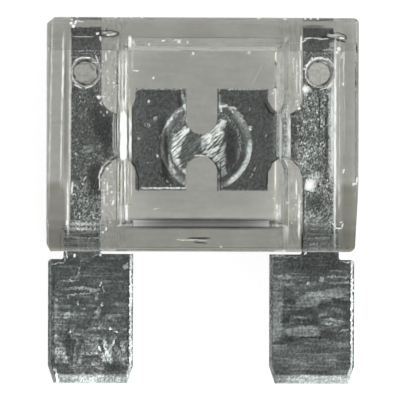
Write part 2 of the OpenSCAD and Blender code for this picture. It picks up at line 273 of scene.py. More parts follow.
# Lines and bands in the plastic that look dark: painted shade along its steps, slopes and notches, and the
# dark outlines of its scars and of the gate mark
DARK_MARKS = [
    (-2.94, 16.52, 18.76, 0.08, 0, 0.06),
    (0.16, 15.24, 13.69, 0.1, 0, 0.22),
    (-2.28, 15.17, 0.75, 0.12, -12, 0.2),
    (0.44, 14.08, 25.89, 0.09, 0, 0.16),
    (-1.25, 14.06, 1.41, 0.12, -3, 0.3),
    (-12.73, 8.29, 0.41, 11.82, -0.3, 0.3),
    (-12.86, 11.76, 0.15, 4.69, -0.9, 0.25),
    (-7.94, 11.85, 0.09, 4.31, 0, 0.2),
    (-7.34, 9.41, 0.13, 6.57, 0, 0.22),
    (-7.01, 6.41, 0.15, 5.07, 0, 0.45),
    (-6.52, 6.41, 0.11, 4.5, 0, 0.4),
    (-7.4, 1.53, 0.15, 3.56, 0, 0.35),
    (-7.07, 1.72, 0.13, 3.75, 0, 0.3),
    (-7.29, -0.36, 1.31, 0.12, 0, 0.35),
    (-7.39, 0.03, 0.13, 0.56, 0, 0.45),
    (0.16, -2.13, 13.51, 0.94, 0, 0.85),
    (-9.54, 1.53, 0.14, 1.88, -2, 0.85),
    (-9.33, 2.66, 0.14, 0.84, -28, 0.9),
    (-8.89, 3.35, 0.15, 0.84, -52, 0.95),
    (-8.28, 3.91, 0.75, 0.17, 24, 0.95),
    (-6.43, 3.41, 0.14, 0.84, 42, 0.9),
    (-6.09, 2.61, 0.14, 0.94, 16, 0.85),
    (-5.98, 1.53, 0.13, 1.31, 0, 0.6),
    (6.07, 1.91, 0.13, 1.69, -2, 0.7),
    (6.29, 3.07, 0.14, 0.84, -30, 0.85),
    (6.73, 3.75, 0.14, 0.84, -54, 0.9),
    (7.34, 4.1, 0.75, 0.14, 8, 0.8),
    (8.18, 3.95, 0.84, 0.14, -24, 0.85),
    (8.79, 3.46, 0.14, 0.75, 48, 0.85),
    (9.18, 2.8, 0.14, 0.84, 20, 0.85),
    (6.03, 8.75, 0.13, 1.03, 30, 0.8),
    (6.48, 8.23, 0.66, 0.14, -32, 0.85),
    (8.45, 8.15, 0.84, 0.14, 26, 0.7),
    (0.16, 14.35, 14.26, 0.34, 0, 0.24),
    (-9.88, 16.97, 1.31, 0.12, 0, 0.4),
    (-5, 16.97, 0.84, 0.12, 0, 0.35),
    (2.79, 16.97, 1.5, 0.12, 0, 0.25),
    (10.76, 16.93, 2.25, 0.13, 0, 0.5),
    (0.16, -2.03, 13.32, 0.28, 0.9, 0.25),
    (0.16, -2.37, 13.32, 0.15, 0, 0.3),
    (0.16, 13.95, 14.07, 0.24, 0, 0.16),
    (-9.41, 15.41, 0.66, 0.17, 5, 0.7),
    (-8.88, 15.28, 1.13, 0.14, 3, 0.6),
    (-8.13, 15.4, 0.56, 0.15, 25, 0.6),
    (12.2, 15.7, 0.94, 0.1, 6, 0.7),
    (12.94, 15.64, 0.66, 0.11, -18, 0.85),
    (13.33, 15.34, 0.12, 0.43, 10, 0.85),
    (11.7, 15.33, 1.31, 0.12, -6, 0.7),
    (12.69, 15.06, 1.22, 0.17, -16, 0.9),
    (12.35, 15.41, 1.13, 0.09, -8, 0.5),
    (10.29, 16.28, 1.88, 0.32, 2, 0.5),
    (10.95, 10.57, 0.94, 0.28, 0, 0.55),
    (9.91, 10.86, 0.84, 0.17, -38, 0.5),
    (-8.26, 6.22, 0.09, 2.81, 0, 0.4),
    (-8.04, 6.22, 0.09, 3.19, 0, 0.4),
    (-9.13, 15.85, 1.13, 0.11, 2, 0.7),
    (-8.28, 15.79, 0.75, 0.11, -14, 0.7),
    (-7.89, 15.64, 0.14, 0.28, 20, 0.6),
    (-9.61, 15.64, 0.12, 0.34, -20, 0.6),
    (-9.03, 15.96, 0.13, 0.23, 10, 0.6),
    (-0.33, -3.48, 1.88, 0.16, 0, 0.9),
    (-0.2, -3.91, 1.13, 0.13, -3, 0.75),
    (0.44, -4.36, 14.63, 0.12, 0, 0.3),
    (-0.31, -4.68, 17.82, 0.11, 0.2, 0.3),
    (-12.97, -2.65, 0.47, 0.11, 0, 0.45),
    (-9.37, -2.29, 0.43, 0.11, 0, 0.4),
    (-8.9, -2.22, 0.09, 1.31, 0, 0.3),
    (-13.25, -3.91, 0.11, 1.69, 0, 0.3),
    (7.87, 0.88, 0.12, 1.88, 0, 0.55),
    (9.32, -3.81, 0.18, 1.69, 0, 0.85),
    (7.48, -1.47, 0.15, 5.63, 0, 0.12),
    (12.71, -2.33, 0.43, 0.14, -10, 0.6),
    (13.57, -4.38, 0.28, 0.17, 10, 0.35),
    (7.64, 6.13, 0.43, 3.94, 0, 0.5),
    (6.78, 6.03, 0.43, 4.13, 0, 0.14),
    (-10.2, 11.16, 0.24, 0.66, -42, 0.6),
    (-11.19, 13.18, 1.22, 0.15, 4, 0.5),
    (-11.15, 12.84, 1.22, 0.19, 4, 0.3),
    (-10.38, 12.51, 0.23, 0.84, 36, 0.32),
    (-10.91, 11.1, 1.13, 0.17, 10, 0.34),
    (-11.1, 11.72, 1.13, 0.15, -6, 0.1),
    (-11.98, 12.75, 0.15, 0.66, -36, 0.45),
    (-10.76, 10.72, 0.84, 0.14, 14, 0.5),
    (14.38, -1.47, 0.1, 6.19, 2.5, 0.22),
    (12.86, 10.35, 0.09, 7.5, 0, 0.12),
    (-14.29, 13.16, 0.1, 5.63, -1, 0.18),
]
# Long shallow scars in the head, of which only the rim is dark
SCARS = [
    (-8.71, 15.56, 1.59, 0.53, -2, 0.25),
    (12.35, 15.28, 1.69, 0.56, -10, 0.25),
]
# Areas of the plastic that let less light through: darker areas of the head, the foot, the walls and the
# window, and painted shade along the slope at the foot of the window
SHADES = [
    (0.16, 6.97, 13.51, 16.51, 0, 0.18),
    (0.16, -2.13, 13.69, 0.84, 0, 0.35),
    (-0.03, 15.7, 30.95, 3.19, 0, 0.25),
    (-0.03, -3.63, 30.95, 2.63, 0, 0.29),
    (-13.82, 8.47, 2.25, 14.07, 0, 0.16),
    (13.76, 8.47, 1.88, 14.07, 0, 0.24),
    (-11, 11.94, 1.97, 1.97, 0, 0.16),
    (-13.91, -1.56, 2.34, 6.57, 0, 0.38),
    (13.76, -1.66, 2.25, 6.57, 0, 0.42),
]
# Rubbed marks and painted highlights and glints on the metal inside the housing
METAL_LIGHT = [
    (-10.65, 14.03, 2.63, 0.12, 0, 0.4),
    (-10.88, 13.76, 1.88, 0.08, 0, 0.3),
    (9.76, 10.48, 0.53, 0.53, -20, 3),
    (9.66, 10.29, 0.56, 0.28, 10, 3),
    (12.16, 6.79, 0.66, 8.44, 0, 0.6),
    (12.44, 7.35, 0.26, 9.76, 0, 2),
    (9.72, -1.09, 0.13, 4.13, 0, 0.4),
    (10.21, 1.53, 0.84, 1.03, -10, 3),
    (10.6, 2.28, 1.03, 1.22, -30, 0.6),
    (9.81, 4.35, 0.11, 0.75, -15, 0.7),
    (-10.79, -2.67, 3, 0.28, 0, 0.6),
    (-11.07, -1.88, 1.31, 0.28, 10, 0.22),
    (-10.69, 4.82, 1.31, 0.75, 10, 0.28),
    (-9.57, 5.1, 0.56, 0.75, -35, 0.3),
    (-9.66, 4.16, 1.31, 0.13, -25, 0.35),
    (-11.01, 2.04, 0.15, 0.47, -30, 0.6),
    (-8.2, 6.22, 0.11, 3.56, 0, 0.85),
    (-7.9, 5.85, 0.13, 3.75, 0, 0.8),
    (-7.75, 6.6, 0.11, 3.75, 0, 0.6),
    (-7.92, 4.48, 0.47, 0.41, 10, 0.8),
    (-8.49, 4.06, 0.21, 0.28, 0, 0.5),
    (-11.85, 4.39, 0.21, 0.21, 0, 0.85),
    (-10.85, 8.49, 0.17, 0.21, 0, 0.8),
    (-8.77, 6.07, 0.15, 0.23, 0, 0.8),
    (-10.65, -3.51, 2.81, 0.14, 0, 0.45),
    (-9.94, -4.03, 2.25, 0.14, 0, 0.25),
    (10.97, -3.44, 2.81, 0.12, 3, 0.3),
    (11.16, -4, 2.63, 0.38, 1, 0.2),
    (-4.13, 10.48, 3.94, 0.16, 0, 0.3),
    (-1.76, 9.6, 0.23, 1.88, 8, 0.5),
    (-6.05, 10.4, 0.75, 0.14, 35, 0.7),
    (-2.14, 8.38, 0.61, 0.11, 25, 0.45),
    (-1.69, 7.72, 0.13, 1.31, -12, 0.35),
    (-3.47, 1.18, 3.75, 0.16, 0, 1.6),
    (-0.14, 4.23, 1.31, 0.15, 0, 0.8),
    (0.52, 3.92, 0.15, 0.56, 40, 0.6),
    (-1.45, 1.3, 0.47, 0.12, 40, 0.6),
    (-1.35, 2.66, 0.11, 2.06, 0, 0.35),
    (-5.01, 9.32, 0.21, 0.23, 0, 0.95),
    (-4.36, 7.69, 0.32, 0.41, 0, 0.5),
    (-5.08, 7.1, 0.51, 0.38, -10, 0.35),
    (-5.89, 5.81, 0.3, 0.21, 0, 0.5),
    (-4.92, 4.82, 0.17, 0.17, 0, 0.35),
    (-4.16, 4.25, 0.15, 0.3, 10, 0.85),
    (-3.82, 2.68, 0.17, 0.28, 20, 0.75),
    (-3.58, 2.14, 0.24, 0.13, 15, 0.8),
    (-3.25, 1.85, 0.23, 0.23, 0, 0.95),
    (-2.96, 1.53, 0.32, 0.13, -35, 0.6),
    (-4.91, 3.58, 0.75, 0.15, 0, 0.25),
    (-2.85, 7.72, 0.23, 0.23, 0, 0.8),
    (-3.41, 6.97, 0.13, 1.5, -28, 0.85),
    (-3.19, 7.16, 0.11, 1.13, -32, 0.6),
    (-3.79, 6.22, 0.17, 0.75, -25, 0.8),
    (-3.71, 4.35, 0.28, 1.5, 0, 0.28),
    (-3.05, 3.78, 0.28, 1.31, 14, 0.28),
    (-2.65, 2.99, 0.34, 0.94, 34, 0.3),
    (3.61, 8.14, 0.15, 0.56, 42, 0.6),
    (3.06, 8.72, 0.19, 0.47, 52, 0.7),
    (1.97, 8.9, 0.75, 0.21, 5, 2),
    (1.78, 8.57, 0.28, 0.38, 0, 0.75),
    (2.68, 8.7, 0.3, 0.38, 30, 0.7),
    (3, 8.29, 0.15, 0.66, 40, 0.55),
    (3.78, 7.61, 0.19, 0.56, 40, 0.9),
    (4.52, 6.84, 0.24, 0.39, 15, 0.85),
    (4.6, 6.99, 0.41, 0.15, 0, 0.6),
    (4.53, 8.63, 0.11, 0.32, -30, 0.7),
    (6.02, 6.13, 0.13, 0.28, -15, 0.5),
    (4.97, 2.96, 0.13, 0.34, -25, 0.8),
    (4.68, 2.4, 0.13, 0.41, -25, 0.75),
    (2.63, 10.52, 0.41, 0.15, 45, 0.85),
    (4.22, 10.48, 3.38, 0.14, 0, 0.4),
    (1.66, 9.6, 0.12, 1.88, 0, 0.4),
    (1.74, 2.1, 0.12, 2.25, -4, 0.4),
]
# Dark marks on the metal inside the housing, most of them painted shade
METAL_DARK = [
    (-2.16, 9.41, 0.23, 1.5, 6, 0.5),
    (-0.79, 3.75, 0.13, 0.94, -42, 0.8),
    (-1.13, 2.88, 0.11, 1.13, -10, 0.7),
    (0.98, 3.82, 0.14, 0.94, 42, 0.85),
    (1.48, 3.13, 0.13, 0.94, 22, 0.8),
    (-3.34, 4.91, 0.28, 2.81, 4, 0.5),
    (-3.56, 4.72, 0.75, 5.25, 3, 0.65),
    (-3.28, 2.1, 0.56, 1.69, 40, 0.4),
    (2.77, 4.91, 1.03, 4.13, 2, 0.5),
    (1.78, 2.38, 0.14, 2.44, 0, 0.7),
    (0.05, 4.03, 1.13, 0.13, -8, 0.6),
    (-5.95, 3.22, 0.19, 1.31, 12, 0.4),
    (11.01, 8.1, 0.12, 3.75, 0, 0.6),
    (11.69, 6.79, 0.32, 7.88, 0, 0.4),
    (9.55, -0.91, 0.12, 4.13, 0, 0.55),
    (10.79, -0.34, 0.94, 1.5, 10, 0.3),
    (-10.04, 1.91, 1.22, 2.81, 0, 0.45),
    (-9.29, 7.16, 1.88, 4.13, 20, 0.4),
]
# Rubbed marks on the blades, and painted highlights on their edges, shoulders, necks and tips
BLADE_LIGHT = [
    (-6.58, -11.6, 0.3, 11.63, 0, 1.1),
    (-7.1, -6.16, 0.56, 0.47, 30, 0.4),
    (-12.36, -7.55, 1.69, 0.12, 0, 0.3),
    (-11.42, -8.22, 2.06, 0.23, 0, 0.32),
    (-11.42, -8.8, 2.06, 0.11, 3, 0.42),
    (-10.06, -8.41, 1.13, 0.32, 0, 0.3),
    (-9.46, -7.85, 0.17, 0.43, -20, 0.5),
    (-9.22, -8.41, 0.13, 0.47, 0, 0.5),
    (-9.31, -9.72, 0.24, 0.41, 10, 0.5),
    (-9.8, -9.07, 0.38, 0.75, 0, 0.24),
    (-9.73, -10.57, 0.47, 1.22, -22, 0.28),
    (-10.96, -10.17, 0.23, 0.15, 0, 0.5),
    (-13.56, -9.35, 0.17, 0.17, -20, 0.45),
    (-12.52, -9.05, 0.17, 0.38, 0, 0.4),
    (-11.59, -9.63, 0.11, 0.38, 0, 0.4),
    (-12.34, -12.3, 0.28, 0.17, 0, 0.5),
    (-8.57, -12.04, 0.3, 0.19, 40, 0.95),
    (-7.96, -12.35, 0.32, 0.15, -40, 0.9),
    (-10.06, -12.07, 1.13, 0.32, 0, 0.2),
    (-11.47, -6.44, 0.09, 1.69, -12, 0.28),
    (-11.92, -5.18, 0.19, 0.26, -10, 0.95),
    (-9.78, -5.2, 1.13, 0.13, 2, 0.35),
    (-13.63, -5.92, 1.5, 0.11, 4, 0.45),
    (-12.84, -5.37, 0.11, 0.84, 4, 0.6),
    (-8.66, -10.85, 0.94, 0.56, 35, 0.1),
    (-8.9, -14.04, 0.38, 2.25, 14, 0.5),
    (-8.51, -14.41, 0.34, 1.88, 4, 0.34),
    (-9.16, -14.79, 0.38, 1.13, 20, 0.3),
    (-8.24, -13.29, 0.24, 0.75, -20, 0.5),
    (-9.52, -13.85, 0.19, 0.56, 15, 0.7),
    (-13.48, -13.66, 0.41, 2.44, 8, 0.24),
    (-12.97, -14.23, 0.47, 2.06, 16, 0.28),
    (-13.35, -14.98, 0.75, 0.56, 0, 0.2),
    (-11.75, -14.04, 0.32, 2.25, -8, 0.2),
    (-11.25, -14.41, 0.38, 2.06, -12, 0.2),
    (-10.35, -13.48, 1.31, 1.69, 0, 0.16),
    (-7.72, -14.41, 0.38, 1.69, 26, 0.22),
    (-7.25, -14.23, 0.38, 1.88, 10, 0.22),
    (-10.53, -14.41, 1.88, 0.19, 0, 0.4),
    (-9.69, -15.54, 1.31, 0.56, -30, 0.22),
    (-13.72, -10.66, 0.47, 3.19, 0, 0.14),
    (-12.6, -10.85, 0.56, 0.84, 0, 0.16),
    (-13.57, -16.48, 0.17, 1.5, 12, 0.8),
    (14.17, -10.47, 0.15, 8.44, 0, 1.1),
    (7.05, -10.47, 1.13, 6.38, -3, 0.15),
    (10.76, -16.85, 5.63, 0.84, 0, 0.18),
    (-10.44, -16.85, 5.82, 0.84, 0, 0.17),
    (7.57, -7.1, 1.88, 0.38, -4, 0.2),
    (7.85, -7.79, 1.88, 0.34, 4, 0.16),
    (11.6, -8.79, 4.13, 0.84, 8, 0.16),
    (13.1, -8.41, 1.88, 0.56, -6, 0.15),
    (10.01, -9.4, 2.25, 1.03, 10, 0.16),
    (12.92, -10.29, 1.5, 0.38, -20, 0.12),
    (11.42, -10.66, 0.94, 0.28, 20, 0.14),
    (8.6, -10.16, 1.5, 0.19, 4, 0.12),
    (9.35, -10.91, 1.88, 0.17, -6, 0.14),
    (12.92, -7.1, 2.25, 0.23, -2, 0.25),
    (13.1, -7.66, 1.88, 0.23, 4, 0.2),
    (12.54, -6.53, 1.31, 0.17, 0, 0.2),
    (9.91, -12.26, 2.44, 1.03, 2, 0.19),
    (8.7, -12.26, 1.31, 0.66, 12, 0.16),
    (11.79, -11.47, 0.94, 0.24, -8, 0.16),
    (12.82, -11.28, 1.31, 0.19, -10, 0.14),
    (12.54, -11.73, 0.84, 0.19, 4, 0.14),
    (12.26, -11, 0.28, 0.43, 30, 0.14),
    (13.48, -12.07, 0.84, 0.13, 5, 0.26),
    (10.05, -7.7, 0.15, 0.43, -10, 0.36),
    (11.32, -7.34, 0.41, 0.47, 0, 0.26),
    (9.02, -8.56, 0.34, 0.23, 0, 0.22),
    (6.69, -6.53, 0.09, 3.19, 0, 0.3),
    (12.54, -13.48, 2.81, 0.47, 0, 0.1),
    (8.23, -14.04, 2.44, 0.94, 0, 0.1),
    (10.1, -14.98, 5.63, 1.31, 0, 0.08),
    (9.78, -4.83, 0.17, 0.47, -10, 1),
    (-9.45, -4.96, 0.18, 0.56, 10, 1.2),
    (-12.63, -5.18, 0.09, 0.75, 2, 0.6),
    (13.71, -5.71, 1.22, 0.11, -2, 0.45),
    (7.76, -5.22, 3.19, 0.11, 0, 0.3),
]
# Dark marks on the blades, with painted shade along their edges and below the housing
BLADE_DARK = [
    (8.26, -9.5, 1.13, 0.47, 0, 0.32),
    (9.35, -10.47, 3, 0.62, 6, 0.34),
    (7.94, -11.26, 0.66, 0.56, 20, 0.36),
    (9.07, -11.28, 0.75, 0.6, -20, 0.36),
    (9.91, -11.32, 0.66, 0.56, 25, 0.32),
    (10.57, -11.41, 1.03, 0.47, 0, 0.34),
    (13.01, -9.44, 1.69, 0.56, -10, 0.38),
    (11.6, -9.82, 1.22, 0.47, 10, 0.34),
    (10.29, -12.78, 2.25, 0.15, 0, 0.6),
    (7.76, -13.19, 1.88, 0.47, 10, 0.34),
    (11.98, -12.54, 1.31, 0.75, 0, 0.26),
    (13.67, -10.66, 0.56, 2.25, 0, 0.24),
    (11.42, -10.99, 2.06, 0.28, 8, 0.3),
    (11.09, -4.71, 0.34, 0.38, 0, 0.5),
    (9.26, -4.81, 0.32, 0.28, 40, 0.6),
    (-14.29, -10.47, 0.14, 10.32, 0, 0.5),
    (-13.87, -9.35, 0.11, 8.44, 0, 0.35),
    (6.29, -9.35, 0.14, 8.63, 0, 0.55),
    (6.58, -8.41, 0.11, 7.13, 0, 0.5),
    (-6.82, -11.22, 0.11, 10.32, 0, 0.5),
    (-6.43, -11.04, 0.12, 12.01, 0, 0.7),
    (14.36, -11.04, 0.15, 11.63, 0, 0.85),
    (14, -10.47, 0.11, 9, 0, 0.5),
    (-12.47, -13.1, 0.38, 3.19, 0, 0.22),
    (-9.31, -13.85, 0.38, 1.31, 0, 0.25),
    (7.01, -5.47, 1.13, 0.09, 0, 0.4),
    (10.48, -5.69, 5.25, 2.06, 0, 0.28),
    (-9.97, -5.97, 5.63, 1.88, 0, 0.1),
    (-12.97, -13.38, 2.06, 0.94, 0, 0.12),
    (-8.66, -15.54, 2.63, 0.56, 0, 0.18),
    (-13.44, -14.98, 1.31, 0.94, 20, 0.2),
]

# Middle and radius of the coined dish in the metal
DISH = Vector((0.4, 5.25))
DISH_R = 4.3
# The thin ring round its floor, which is painted bright, as a span of distances from its middle
DISH_RING = (3.0, 3.15, 3.3, 3.5)
# Turn of the tool marks in its floor, in degrees
BRUSH_TURN = 40
# Marks inside which they face the light, where highlights are painted
DISH_LIGHT = [
    (-1.83, 6.22, 0.75, 1.5, -38, 1.1),
    (-2.38, 5.1, 0.84, 2.06, -8, 1.15),
    (-2.44, 3.78, 0.75, 1.88, 20, 0.9),
    (-1.92, 2.56, 0.94, 2.06, 34, 0.65),
    (1.69, 6.97, 0.66, 1.41, -38, 1.4),
    (0.94, 6.03, 2.06, 1.03, 30, 1.1),
    (1.13, 5, 2.06, 1.31, 20, 0.65),
    (1.5, 3.88, 1.41, 1.41, 0, 0.36),
    (2.02, 2.66, 0.56, 1.69, 8, 0.26),
]
# Turns of the middles of the bright painted crescent of highlight and of the fainter one on its rim
CRESCENT_TURN = math.radians(-27)
UPPER_TURN = math.radians(14)
# Cosines of the angles from its middle where a crescent ends and where it is full
CRESCENT_COSINES = (0.74, 0.93)
# The painted sheen at the left edge of the left plate, from left to right
SHEEN = (-7.0, -6.8, -6.4, -4.6)

# Colours of the metal: flat and dull, a painted highlight colour where it turns to the light, and a darker
# colour painted as shade on its rounded edges
METAL_DULL = (0.42, 0.445, 0.435)
METAL_BRIGHT = (0.95, 0.97, 0.95)
METAL_COOL = (0.8, 0.95, 0.93)
BLADE_DULL = (0.34, 0.37, 0.36)
METAL_RIM = (0.52, 0.54, 0.54)
DULL_ROUGHNESS = 0.27
BRIGHT_ROUGHNESS = 0.42
# Radius by which its edges look rounded
EDGE_R = 0.2
# How the surface of the metal leans where it is fully bright
TO_LIGHT = (0.55, -0.3, 0.0)


class Graph:
    """The nodes of one material. Its methods take numbers or outputs and give an output."""

    def __init__(self, name):
        self.material = bpy.data.materials.new(name)
        self.material.use_nodes = True
        self.tree = self.material.node_tree
        self.tree.nodes.clear()
        place = self.node("ShaderNodeTexCoord").outputs["Object"]
        self.mm = self.vector("SCALE", place, scale=1 / MM)
        self.x, self.y, self.z = self.node("ShaderNodeSeparateXYZ", {0: self.mm}).outputs
        self.side = self.math("ABSOLUTE", self.x)

    def node(self, kind, inputs=None, **settings):
        made = self.tree.nodes.new(kind)
        for name, value in settings.items():
            setattr(made, name, value)
        for key, value in (inputs or {}).items():
            if isinstance(value, bpy.types.NodeSocket):
                self.tree.links.new(value, made.inputs[key])
            else:
                made.inputs[key].default_value = value
        return made

    def vector(self, operation, *values, scale=None):
        inputs = dict(enumerate(values))
        if scale is not None:
            inputs["Scale"] = scale
        return self.node("ShaderNodeVectorMath", inputs, operation=operation).outputs["Vector"]

    def math(self, operation, *values):
        inputs = dict(enumerate(values))
        return self.node("ShaderNodeMath", inputs, operation=operation).outputs[0]

    def length(self, a, b):
        return self.math("SQRT", self.math("ADD", self.math("MULTIPLY", a, a), self.math("MULTIPLY", b, b)))

    def product(self, *values):
        found = values[0]
        for value in values[1:]:
            found = self.math("MULTIPLY", found, value)
        return found

    def greatest(self, *values):
        best = values[0]
        for value in values[1:]:
            best = self.math("MAXIMUM", best, value)
        return best

    def rest(self, share):
        """What is left of 1."""
        return self.math("SUBTRACT", 1.0, share)

    def step(self, value, start, end, low=0.0, high=1.0):
        """Goes smoothly from low to high as the value goes from start to end."""
        inputs = {"Value": value, "From Min": start, "From Max": end, "To Min": low, "To Max": high}
        found = self.node("ShaderNodeMapRange", inputs, interpolation_type="SMOOTHSTEP")
        return found.outputs["Result"]

    def within(self, value, span):
        """1 between the two middle limits of a span, and 0 outside its first and its last."""
        start, full, fading, end = span
        return self.math("MULTIPLY", self.step(value, start, full), self.step(value, end, fading))

    def blend(self, share, a, b):
        """Colour a where the share is 0 and colour b where it is 1."""
        inputs = {"Factor": share, 6: colour(a), 7: colour(b)}
        found = self.node("ShaderNodeMix", inputs, data_type="RGBA")
        return found.outputs[2]

    def stretched(self, turn, length, width):
        """The place in millimetres, turned and squeezed so that a noise in it gets this grain."""
        mapping = self.node("ShaderNodeMapping", {
            "Vector": self.mm,
            "Rotation": (0, 0, math.radians(turn)),
            "Scale": (length, width, 1.0),
        }, vector_type="TEXTURE")
        return mapping.outputs[0]

    def noise(self, place, scale, detail=2.0, output="Fac"):
        inputs = {"Vector": place, "Scale": scale, "Detail": detail}
        return self.node("ShaderNodeTexNoise", inputs).outputs[output]

    def specks(self, place, scale, share):
        """Small dots of random strength in this share of the cells of a lattice."""
        cells = self.node("ShaderNodeTexVoronoi", {"Vector": place, "Scale": scale}).outputs
        chance = self.node("ShaderNodeSeparateColor", {0: cells["Color"]}).outputs[0]
        dot = self.step(cells["Distance"], 0.5, 0.2)
        return self.math("MULTIPLY", dot, self.step(chance, 1 - share, 1.0))

    def wavy(self, scale, reach):
        """The place in millimetres, moved a little by a noise so that marks look uneven."""
        shift = self.vector("SUBTRACT", self.noise(self.mm, scale, output="Color"), (0.5, 0.5, 0.5))
        return self.vector("ADD", self.mm, self.vector("SCALE", shift, scale=2 * reach))

    def turned(self, place, turn):
        """The place seen along axes that are turned by this many degrees."""
        across = self.vector("CROSS_PRODUCT", place, (0, 0, 1))
        sine = math.sin(math.radians(turn))
        along = self.vector("SCALE", place, scale=math.cos(math.radians(turn)))
        return self.vector("MULTIPLY_ADD", across, (sine, sine, sine), along)

    def oblongs(self, place, marks):
        """For each mark a value that is 0 in its middle and 1 at its rim, and its strength."""
        last_turn = 0
        axes = place
        for x, y, width, height, turn, strength in sorted(marks, key=lambda mark: mark[4]):
            if turn != last_turn:
                axes = self.turned(place, turn)
                last_turn = turn
            middle = Matrix.Rotation(math.radians(-turn), 2) @ Vector((x, y))
            spread = Vector((2 / width, 2 / height))
            offset = (-middle.x * spread.x, -middle.y * spread.y, 0)
            reach = self.vector("MULTIPLY_ADD", axes, (*spread, 0), offset)
            reach = self.vector("MULTIPLY", reach, reach)
            reach = self.node("ShaderNodeVectorMath", {0: reach}, operation="LENGTH")
            yield reach.outputs["Value"], strength

    def raised(self, total, place, marks, soft=0.9):
        """Raises the total to the strength of each mark inside it. Soft marks fade over a wide rim."""
        for reach, strength in self.oblongs(place, marks):
            total = self.math("MAXIMUM", total, self.step(reach, 1 + soft, 1 - soft, 0, strength))
        return total

    def shaded(self, total, place, marks, soft=0.9):
        """Multiplies the total by what each mark leaves inside it."""
        for reach, strength in self.oblongs(place, marks):
            total = self.math("MULTIPLY", total, self.step(reach, 1 + soft, 1 - soft, 1, 1 - strength))
        return total


def colour(value):
    """A colour socket as it is, or three numbers with a full alpha."""
    return value if isinstance(value, bpy.types.NodeSocket) else (*value, 1.0)


def squared(clear):
    """Base colour of a face that lets this share of the light through."""
    return tuple(c * c for c in clear)


def mix(g, share, a, b):
    """Shader a where the share is 0 and shader b where it is 1."""
    return g.node("ShaderNodeMixShader", {0: share, 1: a, 2: b}).outputs[0]


def glass(g, tint, gloss=FULL_GLOSS):
    """Smooth clear plastic."""
    shader = g.node("ShaderNodeBsdfPrincipled", {
        "Base Color": colour(tint),
        "Specular IOR Level": gloss,
        "Roughness": 0.0,
        "IOR": PLASTIC_IOR,
        "Transmission Weight": 1.0,
    })
    return shader.outputs[0]


def frost_and_glint_plastic(g, tint=FROST_AND_GLINT):
    """A white plastic shader, used for the rough haze on the walls and for the painted highlights and
    glints on the front.
    """
    shader = g.node("ShaderNodeBsdfPrincipled", {
        "Base Color": colour(tint),
        "Roughness": FROST_ROUGHNESS,
        "IOR": PLASTIC_IOR,
    })
    return shader.outputs[0]


def back_glass(g, around):
    """The back, with its dim areas and faint clouds, and the sides."""
    through = g.shaded(1.0, g.mm, SHADES, soft=0.3)
    cloud = g.step(g.noise(g.mm, 0.35, detail=4.0), 0.3, 0.7, low=0.955, high=1.04)
    through = g.math("MULTIPLY", through, cloud)
    olive = g.step(through, 0.8, 0.55)
    clear = g.blend(olive, squared(BACK_CLEAR), squared([a * b for a, b in zip(BACK_CLEAR, OLIVE)]))
    clear = g.vector("SCALE", clear, scale=g.math("MULTIPLY", through, through))
    haze = g.math("MULTIPLY", around, HAZE)
    return mix(g, haze, glass(g, g.blend(around, clear, squared(SIDE_CLEAR))), frost_and_glint_plastic(g))


def front_shade(g, place, from_stake, from_disc, jagged):
    """Share of the light that the front lets through, with its dark lines of painted shade, the dark rims
    of its scars, its painted dark rings and its clouds.
    """
    shade = g.shaded(1.0, place, DARK_MARKS)

    scar = 0.0
    torn = g.step(g.noise(g.mm, 3.0), 0.35, 0.55)
    for near, strength in g.oblongs(g.wavy(2.5, 0.12), SCARS):
        rim = g.product(g.step(near, 0.45, 0.85), g.step(near, 1.5, 1.05, high=strength), torn)
        scar = g.math("MAXIMUM", scar, rim)
    shade = g.math("MULTIPLY", shade, g.rest(scar))

    uneven = g.step(g.noise(place, 1.1, detail=3.0), 0.3, 0.55, low=0.3, high=0.8)
    # A painted dark ring of shade round each stake
    dark_ring = g.math("MULTIPLY", g.within(from_disc, DARK_RING), uneven)
    shade = g.math("MULTIPLY", shade, g.rest(dark_ring))

    streaky = g.noise(g.stretched(0, 3.0, 0.5), 1.0, detail=3.0)
    shade = g.math("MULTIPLY", shade, g.step(streaky, 0.3, 0.7, low=0.97, high=1.02))
    mottle = g.step(g.noise(g.mm, 2.4, detail=3.0), 0.3, 0.7, low=0.98, high=1.02)
    cloudy = g.step(jagged, 0.35, 0.65, low=-0.09, high=0.08)
    cloudy = g.math("MULTIPLY", g.step(from_stake, 1.15, 0.95), cloudy)
    patchy = g.step(g.noise(g.stretched(90, 1.3, 0.5), 2.0, detail=3.0), 0.35, 0.65, low=-0.12, high=0.05)
    patches = g.math("MULTIPLY_ADD", g.within(g.side, INNER_COLUMN_X), patchy, 1.0)
    return g.product(shade, g.math("ADD", mottle, cloudy), patches)


def front_frost_and_glints(g, place, from_disc, jagged, off_web):
    """Share of the front that looks white: its streaks, glints and rings, which are painted highlights with
    some rough spots among them, and its flecks.
    """
    frost_and_glint = g.raised(0.0, place, WHITE_LINES)
    broken = g.step(g.noise(g.stretched(90, 1.4, 0.35), 1.4, detail=3.0), 0.3, 0.62, low=0.45)
    frost_and_glint = g.math("MULTIPLY", frost_and_glint, broken)
    frost_and_glint = g.raised(frost_and_glint, g.wavy(3.0, 0.06), WHITE_SPOTS)
    uneven = g.step(jagged, 0.44, 0.6, low=0.05, high=0.8)
    # A painted highlight ring round each stake
    white_ring = g.math("MULTIPLY", g.within(from_disc, WHITE_RING), uneven)
    flecked = g.product(g.within(g.side, FLECKED_X), g.within(g.y, FLECKED_Y), off_web)
    fleck = g.math("MULTIPLY_ADD", g.specks(g.stretched(90, 1.6, 0.9), 4.8, share=0.4), 0.7, 0.03)
    return g.greatest(frost_and_glint, white_ring, g.math("MULTIPLY", flecked, fleck))


